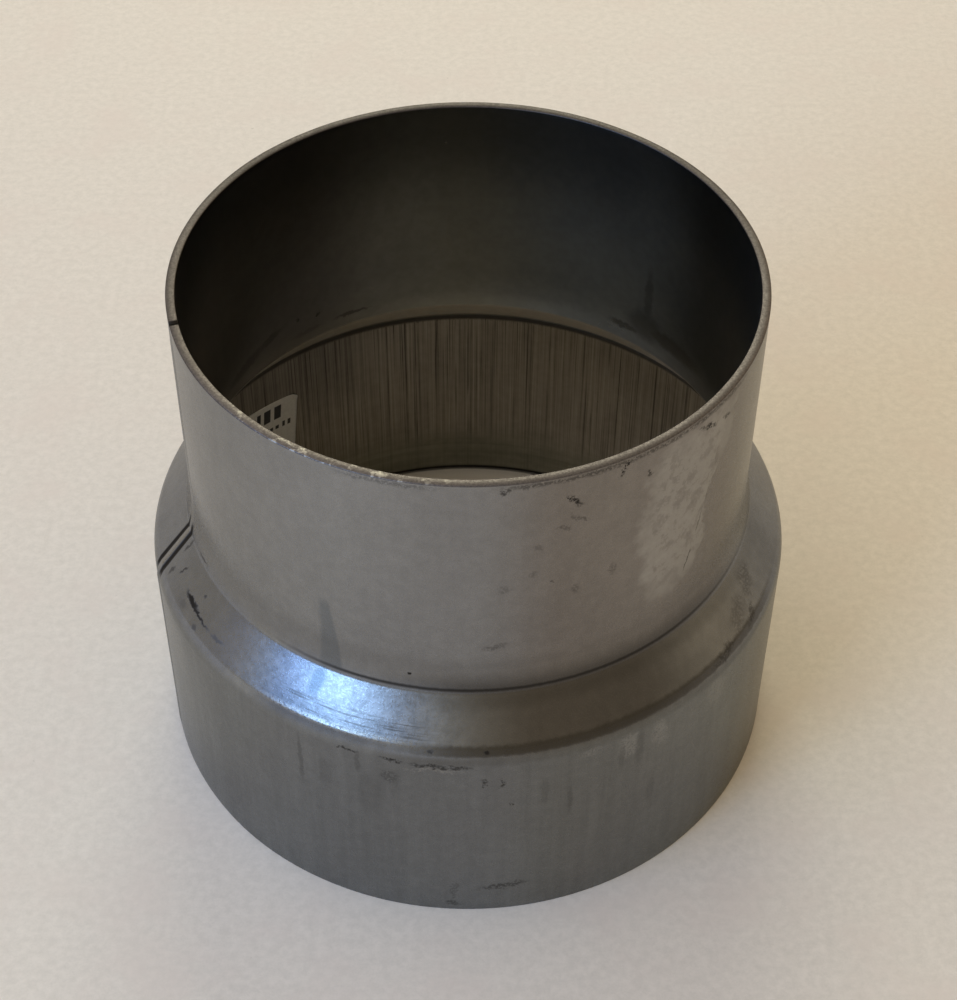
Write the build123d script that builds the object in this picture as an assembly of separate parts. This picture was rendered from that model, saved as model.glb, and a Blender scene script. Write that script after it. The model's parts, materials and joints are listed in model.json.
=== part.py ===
from build123d import *

import os
from math import sin, sqrt

# A stove pipe reducer: one steel tube, rolled from flat sheet, closed by a straight weld and formed at a
# shoulder from a wide collar at the foot to a narrower spigot at the top. Inside the collar is a paper label.
# Millimetres, +Z up along the axis of the tube, origin on that axis in the plane of the foot.
# Azimuths are in degrees about +Z, from +X towards +Y.

# Tube, with diameters over the outside
COLLAR_DIAMETER = 150.0
SPIGOT_DIAMETER = 129.4
WALL = 2.0

# Outer line from the foot up, by its sharp corners: the collar, where it eases in below the shoulder, the slope
# of the shoulder, where the neck flares above it, and the spigot
COLLAR_LENGTH = 56.0
EASE_RISE = 2.5
EASE_DEPTH = 1.35
SHOULDER_RISE = 9.5
FLARE_RISE = 6.3
FLARE_DEPTH = 1.4
SPIGOT_LENGTH = 54.7

# Radii on the hollow side of the bends at those corners, and the bevel at the cut ends of the tube
EASE_BEND = 5.0
SHOULDER_BEND = 1.0
NECK_BEND = 2.0
FLARE_BEND = 40.0
EDGE_BREAK = 0.25

# Weld seam: a low bead between two undercuts, which stops short of both ends of the tube
SEAM_AZIMUTH = 195.0
BEAD_WIDTH = 2.0
BEAD_RISE = 0.2
UNDERCUT_WIDTH = 1.2
UNDERCUT_DEPTH = 0.15
SEAM_END_GAP = 1.0

# Slit at the top rim, where the two edges of the sheet are not fused
SLIT_WIDTH = 0.5
SLIT_DEPTH = 2.0
SLIT_MOUTH_RADIUS = 0.6

# Paper label on the inner wall of the collar, turned a little clockwise as seen from the axis
LABEL_WIDTH = 50.0
LABEL_HEIGHT = 25.0
LABEL_THICKNESS = 0.12
LABEL_CORNER = 1.5
LABEL_AZIMUTH = 149.0
LABEL_DROP = 22.5
LABEL_TILT = 6.5

# How far a cutting body runs past what it cuts, how far the weld's sections run past the face that they are on,
# and how near two points are to count as one
OVERRUN = 5.0
SEAM_OVERRUN = 0.3
TOUCH = 1e-6

collar_radius = COLLAR_DIAMETER / 2
spigot_radius = SPIGOT_DIAMETER / 2
collar_bore_radius = collar_radius - WALL
slope_foot = COLLAR_LENGTH + EASE_RISE
neck_height = slope_foot + SHOULDER_RISE
flare_height = neck_height + FLARE_RISE
height = flare_height + SPIGOT_LENGTH


def outer_corners(foot, top):
    """Sharp corners of the outer line, from the top down, in XZ."""
    return [
        Vector(spigot_radius, 0, top),
        Vector(spigot_radius, 0, flare_height),
        Vector(spigot_radius + FLARE_DEPTH, 0, neck_height),
        Vector(collar_radius - EASE_DEPTH, 0, slope_foot),
        Vector(collar_radius, 0, COLLAR_LENGTH),
        Vector(collar_radius, 0, foot),
    ]


def wall_corners(depth, foot, top):
    """Sharp corners of the wall's line at a depth below its outer face, from the top down, in XZ."""
    corners = outer_corners(foot, top)
    outward = [(below - above).normalized().cross(Vector(0, 1, 0)) for above, below in zip(corners, corners[1:])]
    inset = [corners[0] - outward[0] * depth]
    for corner, above, below in zip(corners[1:], outward, outward[1:]):
        inset.append(corner - (above + below) * (depth / (1 + above.dot(below))))
    return inset + [corners[-1] - outward[-1] * depth]


def bend_radii(depth):
    """Radii of the bends on the wall's line at that depth, from the top down."""
    to_inside = WALL - depth
    return [FLARE_BEND + depth, NECK_BEND + depth, SHOULDER_BEND + to_inside, EASE_BEND + to_inside]


def wall_line(depth, foot, top):
    """The wall's line at that depth, with its bends, from the top down."""
    return FilletPolyline(*wall_corners(depth, foot, top), radius=bend_radii(depth))


def cut_end(radius, face, edge):
    """Bevelled end of the wall, from its outer face to its inner face, in XZ."""
    return Polyline(
        (radius, 0, edge),
        (radius - EDGE_BREAK, 0, face),
        (radius - WALL + EDGE_BREAK, 0, face),
        (radius - WALL, 0, edge),
    )


def tube():
    """The formed tube: one section of even wall, revolved."""
    foot_edge = EDGE_BREAK
    top_edge = height - EDGE_BREAK
    section = make_face([
        wall_line(0, foot_edge, top_edge),
        cut_end(collar_radius, 0, foot_edge),
        wall_line(WALL, foot_edge, top_edge),
        cut_end(spigot_radius, height, top_edge),
    ])
    return revolve(section, axis=Axis.Z)


def seam_run(middle, width, rise):
    """Arc-shaped body along the outer face in XZ, that rises by that much over the face, or sinks below it."""
    side = 1 if rise > 0 else -1
    radius = (width**2 / 4 + rise**2) / (2 * abs(rise))
    half_base = sqrt(radius**2 - (radius - abs(rise) - SEAM_OVERRUN) ** 2)
    base = -side * SEAM_OVERRUN
    arc = ThreePointArc((middle - half_base, base), (middle, rise), (middle + half_base, base))
    section = make_face([arc, Line(arc @ 1, arc @ 0)])
    top = height - SLIT_DEPTH - SEAM_END_GAP
    start = Plane(origin=(spigot_radius, 0, top), x_dir=(0, 1, 0), z_dir=(0, 0, -1))
    return sweep(start * section, path=wall_line(0, SEAM_END_GAP, top))


def rim_slit():
    """Narrow slit through the wall at the top rim, with a round end and rounded corners at its mouth."""
    end_depth = SLIT_DEPTH - SLIT_WIDTH / 2
    throat = SlotCenterToCenter(end_depth + OVERRUN, SLIT_WIDTH, rotation=90)
    mouth = Rectangle(SLIT_WIDTH + 2 * OVERRUN, OVERRUN)
    outline = Pos(0, (OVERRUN - end_depth) / 2) * throat + Pos(0, OVERRUN / 2) * mouth
    corners = outline.vertices().filter_by(lambda point: abs(point.Y) < TOUCH and abs(point.X) < SLIT_WIDTH)
    outline = fillet(corners, SLIT_MOUTH_RADIUS)
    rim = Plane(origin=(spigot_radius + OVERRUN, 0, height), x_dir=(0, 1, 0), z_dir=(1, 0, 0))
    return extrude(rim * outline, amount=-(WALL + 2 * OVERRUN))


def reducer_body():
    """The tube with its weld seam, which is modelled in the XZ plane and turned to its azimuth."""
    body = tube() + seam_run(0, BEAD_WIDTH, BEAD_RISE)
    for side in (-1, 1):
        body -= seam_run(side * (BEAD_WIDTH + UNDERCUT_WIDTH) / 2, UNDERCUT_WIDTH, -UNDERCUT_DEPTH)
    body -= rim_slit()
    return Rot(0, 0, SEAM_AZIMUTH) * body


def paper_label():
    """Thin label that follows the inner wall of the collar."""
    chord = 2 * collar_bore_radius * sin(LABEL_WIDTH / 2 / collar_bore_radius)
    middle = COLLAR_LENGTH - LABEL_DROP
    facing_axis = Plane(origin=(0, 0, middle), x_dir=(0, -1, 0), z_dir=(-1, 0, 0))
    outline = RectangleRounded(chord, LABEL_HEIGHT, LABEL_CORNER, rotation=-LABEL_TILT)
    block = extrude(facing_axis * outline, amount=-collar_radius)
    back = Cylinder(collar_bore_radius, 2 * height)
    front = Cylinder(collar_bore_radius - LABEL_THICKNESS, 2 * height)
    return Rot(0, 0, LABEL_AZIMUTH) * ((back - front) & block)


os.makedirs("parts", exist_ok=True)
for node, solid in {"reducer_body": reducer_body(), "paper_label": paper_label()}.items():
    export_step(solid, f"parts/{node}.step")
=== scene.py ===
import json
from math import asin, ceil, cos, pi, radians, sin, sqrt, tan

import bpy
from mathutils import Matrix, Vector, noise


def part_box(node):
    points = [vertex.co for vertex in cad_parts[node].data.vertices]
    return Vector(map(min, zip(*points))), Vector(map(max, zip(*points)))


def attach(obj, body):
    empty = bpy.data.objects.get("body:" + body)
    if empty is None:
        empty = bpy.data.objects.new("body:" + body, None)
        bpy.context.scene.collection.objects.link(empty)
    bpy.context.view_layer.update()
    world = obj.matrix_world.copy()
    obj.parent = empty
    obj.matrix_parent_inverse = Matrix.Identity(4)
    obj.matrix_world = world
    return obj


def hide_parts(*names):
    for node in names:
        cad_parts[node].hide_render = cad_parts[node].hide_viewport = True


# A raw steel stove pipe reducer that stands on its wide end on a pale floor, seen from above.
# Shapes are worked out in millimetres and turned into metres when a mesh is made.
# Azimuths are in degrees about +Z, from +X towards +Y, and the camera looks along +Y.

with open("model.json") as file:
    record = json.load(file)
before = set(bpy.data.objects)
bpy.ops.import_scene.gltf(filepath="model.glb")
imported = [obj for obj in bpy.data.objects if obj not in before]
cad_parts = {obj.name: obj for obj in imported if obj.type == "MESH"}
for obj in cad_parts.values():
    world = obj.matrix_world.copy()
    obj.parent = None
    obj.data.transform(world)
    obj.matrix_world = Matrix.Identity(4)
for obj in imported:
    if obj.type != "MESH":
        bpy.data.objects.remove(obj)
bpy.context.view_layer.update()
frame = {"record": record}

MM = 0.001

# Radii of the tube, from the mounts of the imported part, and its height, from its box
radius_of = {mount["name"]: mount["dims"].get("r_mm") for mount in frame["record"]["mounts"]}
SPIGOT_RADIUS = radius_of["spigot"]
COLLAR_RADIUS = radius_of["collar"]
COLLAR_BORE_RADIUS = radius_of["collar_bore"]
WALL = SPIGOT_RADIUS - radius_of["spigot_bore"]
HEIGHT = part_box("reducer_body")[1].z / MM

# Shoulder, by the sharp corners of its outer line: the collar eases in, then comes the slope,
# and the neck flares above it
COLLAR_LENGTH = 56.0
EASE_RISE = 2.5
EASE_DEPTH = 1.35
SHOULDER_RISE = 9.5
FLARE_RISE = 6.3
FLARE_DEPTH = 1.4
# Radii on the outer face of its four bends, from the collar up
EASE_BEND = 7.0
SHOULDER_BEND = 3.0
NECK_BEND = 2.0
FLARE_BEND = 40.0
EDGE_ROUND = 0.3
slope_foot = COLLAR_LENGTH + EASE_RISE
neck_height = slope_foot + SHOULDER_RISE
flare_height = neck_height + FLARE_RISE

# Weld seam, and the slit at the top rim, where the two edges of the sheet are not fused
SEAM_AZIMUTH = 195.0
BEAD_HALF = 1.0
BEAD_RISE = 0.2
UNDERCUT_WIDTH = 1.2
UNDERCUT_DEPTH = 0.15
SEAM_END_GAP = 1.0
SLIT_WIDTH = 0.5
SLIT_DEPTH = 2.0
SLIT_MOUTH_RADIUS = 0.6
undercut_middle = BEAD_HALF + UNDERCUT_WIDTH / 2
slit_bottom = HEIGHT - SLIT_DEPTH
seam_top = slit_bottom - SEAM_END_GAP

# Mesh of the tube: columns round the axis, closer together at the seam, and rows along the wall
COLUMN_COUNT = 348
SEAM_COLUMNS = (0.55, 0.8, 1.0, 1.15, 1.3, 1.45, 1.6, 1.75, 1.9, 2.05, 2.2, 2.5, 3.0, 3.7)
ROW_STEP = 2.2
BEND_ROWS = 10
EDGE_ROWS = 3
# How near a row is to the bottom of the slit to count as on it
TOUCH = 0.001

# Unevenness of the formed sheet and of its cut rim: height and length of the waves, and depth below the rim
SHEET_WAVE = 0.05
SHEET_WAVE_LENGTH = 26.0
RIM_WAVE = 0.09
RIM_WAVE_LENGTH = 4.5
RIM_WAVE_DEPTH = 1.5

# Paper label inside the collar, with one corner that has come loose
LABEL_WIDTH = 50.0
LABEL_HEIGHT = 25.0
LABEL_THICKNESS = 0.12
LABEL_CORNER = 1.5
LABEL_AZIMUTH = 149.0
LABEL_MIDDLE = 33.5
LABEL_TILT = 6.5
LABEL_LIFT = 0.7
LABEL_LIFT_REACH = 3.5
LABEL_GRID = (70, 36)

# Camera: a pinhole fitted to the photograph, whose size is in pixels
IMAGE_SIZE = (957, 1000)
FOCAL_PIXELS = 2019.36
CAMERA_PLACE = (0.0, -339.588, 401.882)
CAMERA_PITCH = 45.1805
CAMERA_YAW = -0.40945
CAMERA_ROLL = 0.36547
SENSOR_WIDTH = 36.0

FLOOR_SIZE = 6000.0

# The wall is rolled out flat at this radius to place marks on it
MAP_RADIUS = 70.0
arc_per_degree = radians(MAP_RADIUS)


# Shapes

def straight_rows(start, end):
    """Evenly spaced points from start to end, without start."""
    steps = ceil((end - start).length / ROW_STEP)
    return [start.lerp(end, step / steps) for step in range(1, steps + 1)]


def rounded_line(corners, radii):
    """Points (radius, height) along straight runs, with each inner corner rounded by its radius."""
    points = [corners[0]]
    for before, corner, after, radius in zip(corners, corners[1:], corners[2:], radii):
        back = (before - corner).normalized()
        ahead = (after - corner).normalized()
        half_angle = back.angle(ahead) / 2
        trim = radius / tan(half_angle)
        centre = corner + (back + ahead).normalized() * (radius / sin(half_angle))
        first = corner + back * trim - centre
        last = corner + ahead * trim - centre
        points += straight_rows(points[-1], centre + first)
        points += [centre + first.slerp(last, step / BEND_ROWS) * radius for step in range(1, BEND_ROWS + 1)]
    return points + straight_rows(points[-1], corners[-1])


def wall_line(depth):
    """The wall's line at a depth below its outer face, from the foot up, with a row at the slit's bottom."""
    corners = [
        Vector((COLLAR_RADIUS, EDGE_ROUND)),
        Vector((COLLAR_RADIUS, COLLAR_LENGTH)),
        Vector((COLLAR_RADIUS - EASE_DEPTH, slope_foot)),
        Vector((SPIGOT_RADIUS + FLARE_DEPTH, neck_height)),
        Vector((SPIGOT_RADIUS, flare_height)),
        Vector((SPIGOT_RADIUS, slit_bottom)),
    ]
    runs = [(upper - lower).normalized() for lower, upper in zip(corners, corners[1:])]
    outward = [Vector((run.y, -run.x)) for run in runs]
    inset = [corners[0] - outward[0] * depth]
    for corner, below, above in zip(corners[1:], outward, outward[1:]):
        inset.append(corner - (below + above) * (depth / (1 + below.dot(above))))
    inset.append(corners[-1] - outward[-1] * depth)
    radii = [EASE_BEND - depth, SHOULDER_BEND - depth, NECK_BEND + depth, FLARE_BEND + depth]
    points = rounded_line(inset, radii)
    return points + straight_rows(points[-1], Vector((SPIGOT_RADIUS - depth, HEIGHT - EDGE_ROUND)))


def cut_end(radius, height, side):
    """Rounded cut end of the wall, from outside to inside; side is 1 at the top and -1 at the foot."""
    points = []
    for centre, start in ((radius - EDGE_ROUND, 0), (radius - WALL + EDGE_ROUND, pi / 2)):
        for step in range(1, EDGE_ROWS + 1):
            angle = start + pi / 2 * step / (EDGE_ROWS + 1)
            points.append(Vector((
                centre + EDGE_ROUND * cos(angle),
                height + side * EDGE_ROUND * (sin(angle) - 1),
            )))
    return points


def section_rows():
    """The closed outline of the wall, up the outside and down the inside, with the kind of each surface."""
    outside = wall_line(0.0)
    inside = wall_line(WALL)[::-1]
    rim = cut_end(SPIGOT_RADIUS, HEIGHT, 1)
    foot = cut_end(COLLAR_RADIUS, 0.0, -1)[::-1]
    rows = [(point, "outside") for point in outside[:-1]]
    rows += [(point, "cut") for point in [outside[-1]] + rim]
    rows += [(point, "inside") for point in inside[:-1]]
    rows += [(point, "cut") for point in [inside[-1]] + foot]
    return rows


def row_normals(rows):
    """Unit normals (radius, height) of the outline at each row."""
    normals = []
    for index in range(len(rows)):
        along = rows[(index + 1) % len(rows)][0] - rows[index - 1][0]
        normals.append(Vector((along.y, -along.x)).normalized())
    return normals


def column_angles():
    """Angles of the columns from the seam, in radians, with the two edges of the slit first and last."""
    slit_edge = asin(SLIT_WIDTH / 2 / SPIGOT_RADIUS)
    near_seam = [slit_edge] + [place / MAP_RADIUS for place in SEAM_COLUMNS]
    reach = 2 * pi - 2 * near_seam[-1]
    even = [near_seam[-1] + reach * step / COLUMN_COUNT for step in range(1, COLUMN_COUNT)]
    return near_seam + even + [2 * pi - angle for angle in near_seam[::-1]]


def bead_height(across):
    """Height of the weld over the outer face, at a distance across it."""
    crown = BEAD_RISE * max(0.0, 1 - (across / BEAD_HALF) ** 2)
    groove = UNDERCUT_DEPTH * max(0.0, 1 - ((abs(across) - undercut_middle) / (UNDERCUT_WIDTH / 2)) ** 2)
    return crown - groove


def mouth_drop(across):
    """How far the rim is rounded off beside the slit."""
    inset = SLIT_MOUTH_RADIUS - (abs(across) - SLIT_WIDTH / 2)
    if inset <= 0:
        return 0.0
    return SLIT_MOUTH_RADIUS - sqrt(max(0.0, SLIT_MOUTH_RADIUS**2 - inset**2))


def wall_point(point, angle, normal, kind):
    """A point of the tube in metres, with its weld, its slit and the unevenness of the sheet."""
    radius, height = point
    turn = angle if angle < pi else angle - 2 * pi
    across = turn * radius
    azimuth = radians(SEAM_AZIMUTH) + angle
    place = Vector((radius * cos(azimuth), radius * sin(azimuth), height))
    wave = SHEET_WAVE * noise.noise(place / SHEET_WAVE_LENGTH)
    if kind == "outside" and SEAM_END_GAP < height < seam_top:
        wave += bead_height(across)
    radius += wave * normal.x
    height += wave * normal.y
    from_top = HEIGHT - point.y
    if from_top < RIM_WAVE_DEPTH:
        share = 1 - from_top / RIM_WAVE_DEPTH
        unevenness = RIM_WAVE * (noise.noise(place / RIM_WAVE_LENGTH) - 1) / 2
        height += share * (unevenness - mouth_drop(across))
    return (radius * cos(azimuth) * MM, radius * sin(azimuth) * MM, max(0.0, height) * MM)


def grid_faces(row_count, width, in_slit):
    """Quads between neighbouring rows and columns, and each quad's row, without those of the slit."""
    faces = []
    face_rows = []
    for row in range(row_count):
        following = (row + 1) % row_count
        for column in range(width):
            if column == width - 1 and in_slit[row] and in_slit[following]:
                continue
            beside = (column + 1) % width
            faces.append((
                row * width + column,
                row * width + beside,
                following * width + beside,
                following * width + column,
            ))
            face_rows.append(row)
    return faces, face_rows


def slit_faces(width, in_slit):
    """The two sides and the bottom of the slit."""
    slit_rows = [row for row, inside in enumerate(in_slit) if inside]
    first_side = [row * width for row in slit_rows]
    last_side = [row * width + width - 1 for row in slit_rows]
    bottom = (first_side[0], first_side[-1], last_side[-1], last_side[0])
    return [tuple(first_side[::-1]), tuple(last_side), bottom]


def tube_mesh(materials):
    """The whole tube as one closed mesh: a grid round the axis, open at the slit."""
    rows = section_rows()
    angles = column_angles()
    vertices = [
        wall_point(point, angle, normal, kind)
        for (point, kind), normal in zip(rows, row_normals(rows))
        for angle in angles
    ]
    in_slit = [point.y >= slit_bottom - TOUCH for point, kind in rows]
    faces, face_rows = grid_faces(len(rows), len(angles), in_slit)
    sides = slit_faces(len(angles), in_slit)
    slots = list(materials)
    face_slots = [slots.index(rows[row][1]) for row in face_rows] + [slots.index("cut")] * len(sides)
    mesh = bpy.data.meshes.new("reducer_shell")
    mesh.from_pydata(vertices, [], faces + sides)
    for material in materials.values():
        mesh.materials.append(material)
    mesh.polygons.foreach_set("material_index", face_slots)
    mesh.polygons.foreach_set("use_smooth", [True] * len(faces) + [False] * len(sides))
    mesh.update()
    return mesh


def on_label(along, up):
    """Where a point of the paper is on the wall: sideways from the label's middle, and its height."""
    tilt = radians(LABEL_TILT)
    sideways = along * cos(tilt) + up * sin(tilt)
    height = LABEL_MIDDLE + up * cos(tilt) - along * sin(tilt)
    return sideways, height


def label_point(along, up, depth):
    """A point of the label in metres: along and up on the paper from its middle, depth out of the wall."""
    sideways, height = on_label(along, up)
    azimuth = radians(LABEL_AZIMUTH) - sideways / COLLAR_BORE_RADIUS
    to_corner = Vector((LABEL_WIDTH / 2 - along, LABEL_HEIGHT / 2 - up)).length
    loose = max(0.0, 1 - to_corner / LABEL_LIFT_REACH)
    radius = COLLAR_BORE_RADIUS - depth - LABEL_LIFT * loose**2
    return (radius * cos(azimuth) * MM, radius * sin(azimuth) * MM, height * MM)


def label_half_width(up):
    """Half the width of the label at a height on it, less at its round corners."""
    into_corner = abs(up) - (LABEL_HEIGHT / 2 - LABEL_CORNER)
    if into_corner <= 0:
        return LABEL_WIDTH / 2
    return LABEL_WIDTH / 2 - LABEL_CORNER + sqrt(max(0.0, LABEL_CORNER**2 - into_corner**2))


def label_mesh(material):
    """The label as a thin closed sheet: a grid for its face, one for its back, and quads round its edge."""
    columns, rows = LABEL_GRID
    width = columns + 1
    vertices = []
    for depth in (LABEL_THICKNESS, 0.0):
        for row in range(rows + 1):
            up = LABEL_HEIGHT * (row / rows - 0.5)
            half = label_half_width(up)
            vertices += [label_point(half * (2 * column / columns - 1), up, depth) for column in range(width)]
    back = width * (rows + 1)
    faces = []
    for row in range(rows):
        for column in range(columns):
            corner = row * width + column
            quad = (corner, corner + 1, corner + width + 1, corner + width)
            faces.append(quad)
            faces.append(tuple(back + index for index in quad[::-1]))
    edge = list(range(width))
    edge += [row * width + columns for row in range(1, rows + 1)]
    edge += [rows * width + column for column in range(columns - 1, -1, -1)]
    edge += [row * width for row in range(rows - 1, 0, -1)]
    round_edge = zip(edge, edge[1:] + edge[:1])
    faces += [(second, first, back + first, back + second) for first, second in round_edge]
    mesh = bpy.data.meshes.new("label_sheet")
    mesh.from_pydata(vertices, [], faces)
    mesh.materials.append(material)
    mesh.polygons.foreach_set("use_smooth", [True] * (2 * rows * columns) + [False] * len(edge))
    mesh.update()
    return mesh


def add_object(name, data):
    """A new object in the scene."""
    piece = bpy.data.objects.new(name, data)
    bpy.context.scene.collection.objects.link(piece)
    return piece


# Materials

class Nodes:
    """Short names for the shader nodes of one material."""

    def __init__(self, tree):
        self.tree = tree

    def node(self, kind, inputs, **settings):
        """A node with its settings, and its inputs as values or links."""
        node = self.tree.nodes.new("ShaderNode" + kind)
        for name, value in settings.items():
            setattr(node, name, value)
        for key, value in inputs.items():
            self.feed(node.inputs[key], value)
        return node

    def feed(self, socket, value):
        """Links an output to a socket, or sets the socket's own value."""
        if isinstance(value, bpy.types.NodeSocket):
            self.tree.links.new(value, socket)
        else:
            socket.default_value = value

    def math(self, operation, *values):
        """A calculation on numbers."""
        return self.node("Math", dict(enumerate(values)), operation=operation).outputs[0]

    def vector(self, operation, *values):
        """A calculation on vectors."""
        return self.node("VectorMath", dict(enumerate(values)), operation=operation).outputs[0]

    def scaled(self, vector, factor):
        """A vector or colour times a number."""
        return self.node("VectorMath", {0: vector, "Scale": factor}, operation="SCALE").outputs[0]

    def length(self, vector):
        """How long a vector is."""
        return self.node("VectorMath", {0: vector}, operation="LENGTH").outputs["Value"]

    def parts(self, vector):
        """The X, Y and Z of a vector."""
        return self.node("SeparateXYZ", {0: vector}).outputs

    def noise(self, place, scale, detail, roughness):
        """Noise of even scale."""
        inputs = {"Vector": place, "Scale": scale, "Detail": detail, "Roughness": roughness}
        return self.node("TexNoise", inputs).outputs[0]

    def drawn(self, place, scales, detail, roughness):
        """Noise with its own scale along each axis."""
        return self.noise(self.vector("MULTIPLY", place, scales), 1.0, detail, roughness)

    def remap(self, value, low, high, to_low=0.0, to_high=1.0):
        """A smooth step from to_low at low to to_high at high."""
        inputs = {"Value": value, "From Min": low, "From Max": high, "To Min": to_low, "To Max": to_high}
        return self.node("MapRange", inputs, interpolation_type="SMOOTHSTEP").outputs[0]

    def product(self, *values):
        """Several masks and numbers multiplied."""
        total = values[0]
        for value in values[1:]:
            total = self.math("MULTIPLY", total, value)
        return total

    def strongest(self, *masks):
        """The highest of several masks at each point."""
        total = masks[0]
        for mask in masks[1:]:
            total = self.math("MAXIMUM", total, mask)
        return total

    def span(self, value, start, full, fade, end):
        """Rises from 0 at start to 1 at full, and falls from 1 at fade to 0 at end."""
        return self.product(self.remap(value, start, full), self.remap(value, end, fade))

    def band(self, value, low, high, soft):
        """1 between low and high, with edges of that softness."""
        return self.span(value, low - soft, low + soft, high - soft, high + soft)

    def mix(self, factor, first, second):
        """Colours from first to second."""
        return self.node("Mix", {0: factor, 6: first, 7: second}, data_type="RGBA").outputs[2]

    def shaded(self, colour, mask, change):
        """A colour made lighter or darker by a share of it where the mask is 1."""
        return self.scaled(colour, self.math("MULTIPLY_ADD", mask, change, 1.0))

    def bump(self, height, strength, distance):
        """Normals of a relief, whose depth is in millimetres."""
        inputs = {"Height": height, "Strength": strength, "Distance": distance * MM}
        return self.node("Bump", inputs).outputs[0]

    def place(self):
        """Object coordinates in millimetres."""
        return self.scaled(self.node("TexCoord", {}).outputs["Object"], 1 / MM)


class Surface(Nodes):
    """The nodes of a new material that ends in the Principled shader."""

    def __init__(self, name):
        self.material = bpy.data.materials.new(name)
        self.material.use_nodes = True
        super().__init__(self.material.node_tree)

    def finish(self, **inputs):
        """Feeds the Principled shader, with _ for the spaces in its sockets' names."""
        end = self.tree.nodes["Principled BSDF"]
        for name, value in inputs.items():
            self.feed(end.inputs[name.replace("_", " ")], value)
        return self.material


class Wall(Surface):
    """A material on the wall of the tube: its place, azimuth and height, and the wall rolled out flat."""

    def __init__(self, name):
        super().__init__(name)
        self.here = self.place()
        x, y, self.height = self.parts(self.here)
        behind = self.math("ARCTAN2", self.math("MULTIPLY", y, -1.0), self.math("MULTIPLY", x, -1.0))
        arc = self.math("MULTIPLY_ADD", behind, MAP_RADIUS, pi * MAP_RADIUS)
        self.azimuth = self.math("DIVIDE", arc, arc_per_degree)
        self.flat = self.node("CombineXYZ", {0: arc, 1: self.height}).outputs[0]

    def frayed(self, reach, scale=0.7):
        """The rolled-out wall pushed about by noise, so that marks on it get ragged edges."""
        inputs = {"Vector": self.here, "Scale": scale, "Detail": 4.0, "Roughness": 0.6}
        push = self.node("TexNoise", inputs).outputs["Color"]
        centred = self.vector("SUBTRACT", push, (0.5, 0.5, 0.5))
        return self.vector("ADD", self.flat, self.scaled(centred, 2 * reach))

    def local(self, flat, azimuth, height, width, tall, tilt):
        """Coordinates that run from -1 to 1 across a mark on the rolled-out wall."""
        inputs = {
            "Vector": self.vector("MULTIPLY", flat, (1.0, 1.0, 0.0)),
            "Location": (azimuth * arc_per_degree, height, 0.0),
            "Rotation": (0.0, 0.0, radians(tilt)),
            "Scale": (width / 2, tall / 2, 1.0),
        }
        return self.node("Mapping", inputs, vector_type="TEXTURE").outputs[0]

    def spot(self, flat, azimuth, height, width, tall, tilt):
        """An ellipse on the rolled-out wall, 1 in its middle and 0 outside it."""
        local = self.local(flat, azimuth, height, width, tall, tilt)
        return self.remap(self.length(local), 1.0, 0.4)

    def spots(self, flat, marks):
        """Several ellipses, each given by its strength and then its place and size."""
        return self.strongest(*[self.product(self.spot(flat, *mark), strength) for strength, *mark in marks])

    def block(self, flat, azimuth, height, width, tall, tilt):
        """A rectangle on the rolled-out wall."""
        local = self.local(flat, azimuth, height, width, tall, tilt)
        off_middle = self.parts(self.vector("ABSOLUTE", local))
        return self.remap(self.math("MAXIMUM", off_middle["X"], off_middle["Y"]), 1.0, 0.92)


# Colours of the outside. The warm colours paint a reflection of the floor on the right, three slope colours
# paint the slope's highlight and reflections, and the neck shade is painted shade, also used for scratches
SPIGOT_TONE = (0.293, 0.296, 0.297, 1.0)
SPIGOT_WARM_REFLECTION = (0.240, 0.221, 0.202, 1.0)
SLOPE_TONE = (0.245, 0.258, 0.285, 1.0)
SLOPE_HIGHLIGHT_TINT = (0.300, 0.335, 0.400, 1.0)
SLOPE_LEFT_REFLECTION_TINT = (0.290, 0.290, 0.275, 1.0)
SLOPE_WARM_REFLECTION = (0.236, 0.236, 0.240, 1.0)
SLOPE_DARK_REFLECTION = (0.122, 0.114, 0.110, 1.0)
COLLAR_TONE = (0.213, 0.221, 0.224, 1.0)
COLLAR_WARM_REFLECTION = (0.206, 0.208, 0.196, 1.0)
STEEL_EDGE = (0.76, 0.76, 0.76, 1.0)
# Grime, also used for painted shade in creases and at the foot
GRIME_AND_SHADE = (0.035, 0.032, 0.029, 1.0)
# Painted shade about the neck and along the bend, also the colour of the slope's scratches
SHADE_AND_SCRATCH_DARK = (0.06, 0.056, 0.05, 1.0)
# Burnished steel for wear, also used for painted highlights and glints
BURNISH_AND_GLINT = (0.46, 0.445, 0.415, 1.0)
DRIED = (0.12, 0.145, 0.17, 1.0)

# Noises on the steel: scale per millimetre, detail and roughness
CLOUD = (0.05, 4.0, 0.6)
MOTTLE = (0.4, 3.0, 0.6)
GRAIN = (1.9, 4.0, 0.7)
BREAKS = (1.8, 3.0, 0.65)
LIT_BLOTCHES = (0.5, 5.0, 0.75)
RUBBED_BLOTCHES = (0.2, 6.0, 0.75)
# Noises drawn out along the wall: scale along each axis, detail and roughness
STREAKS = ((0.35, 0.35, 0.02), 3.0, 0.6)
SCRATCHES = ((0.09, 3.0, 1.0), 3.0, 0.6)
# How far noise pushes the edges of marks about, in millimetres, and its scale where that is special
SCUFF_FRAY = (2.0, 0.5)
SMEAR_FRAY = (3.0, 0.25)
RUBBED_FRAY = (9.0, 0.09)
SCRAPE_FRAY = 0.9
RUN_FRAY = 0.8
RUBBED_SMALL_FRAY = 1.5
NECK_LINE_FRAY = 0.15
BEND_FRAY = 0.5
RIM_LINE_FRAY = 0.8
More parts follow.
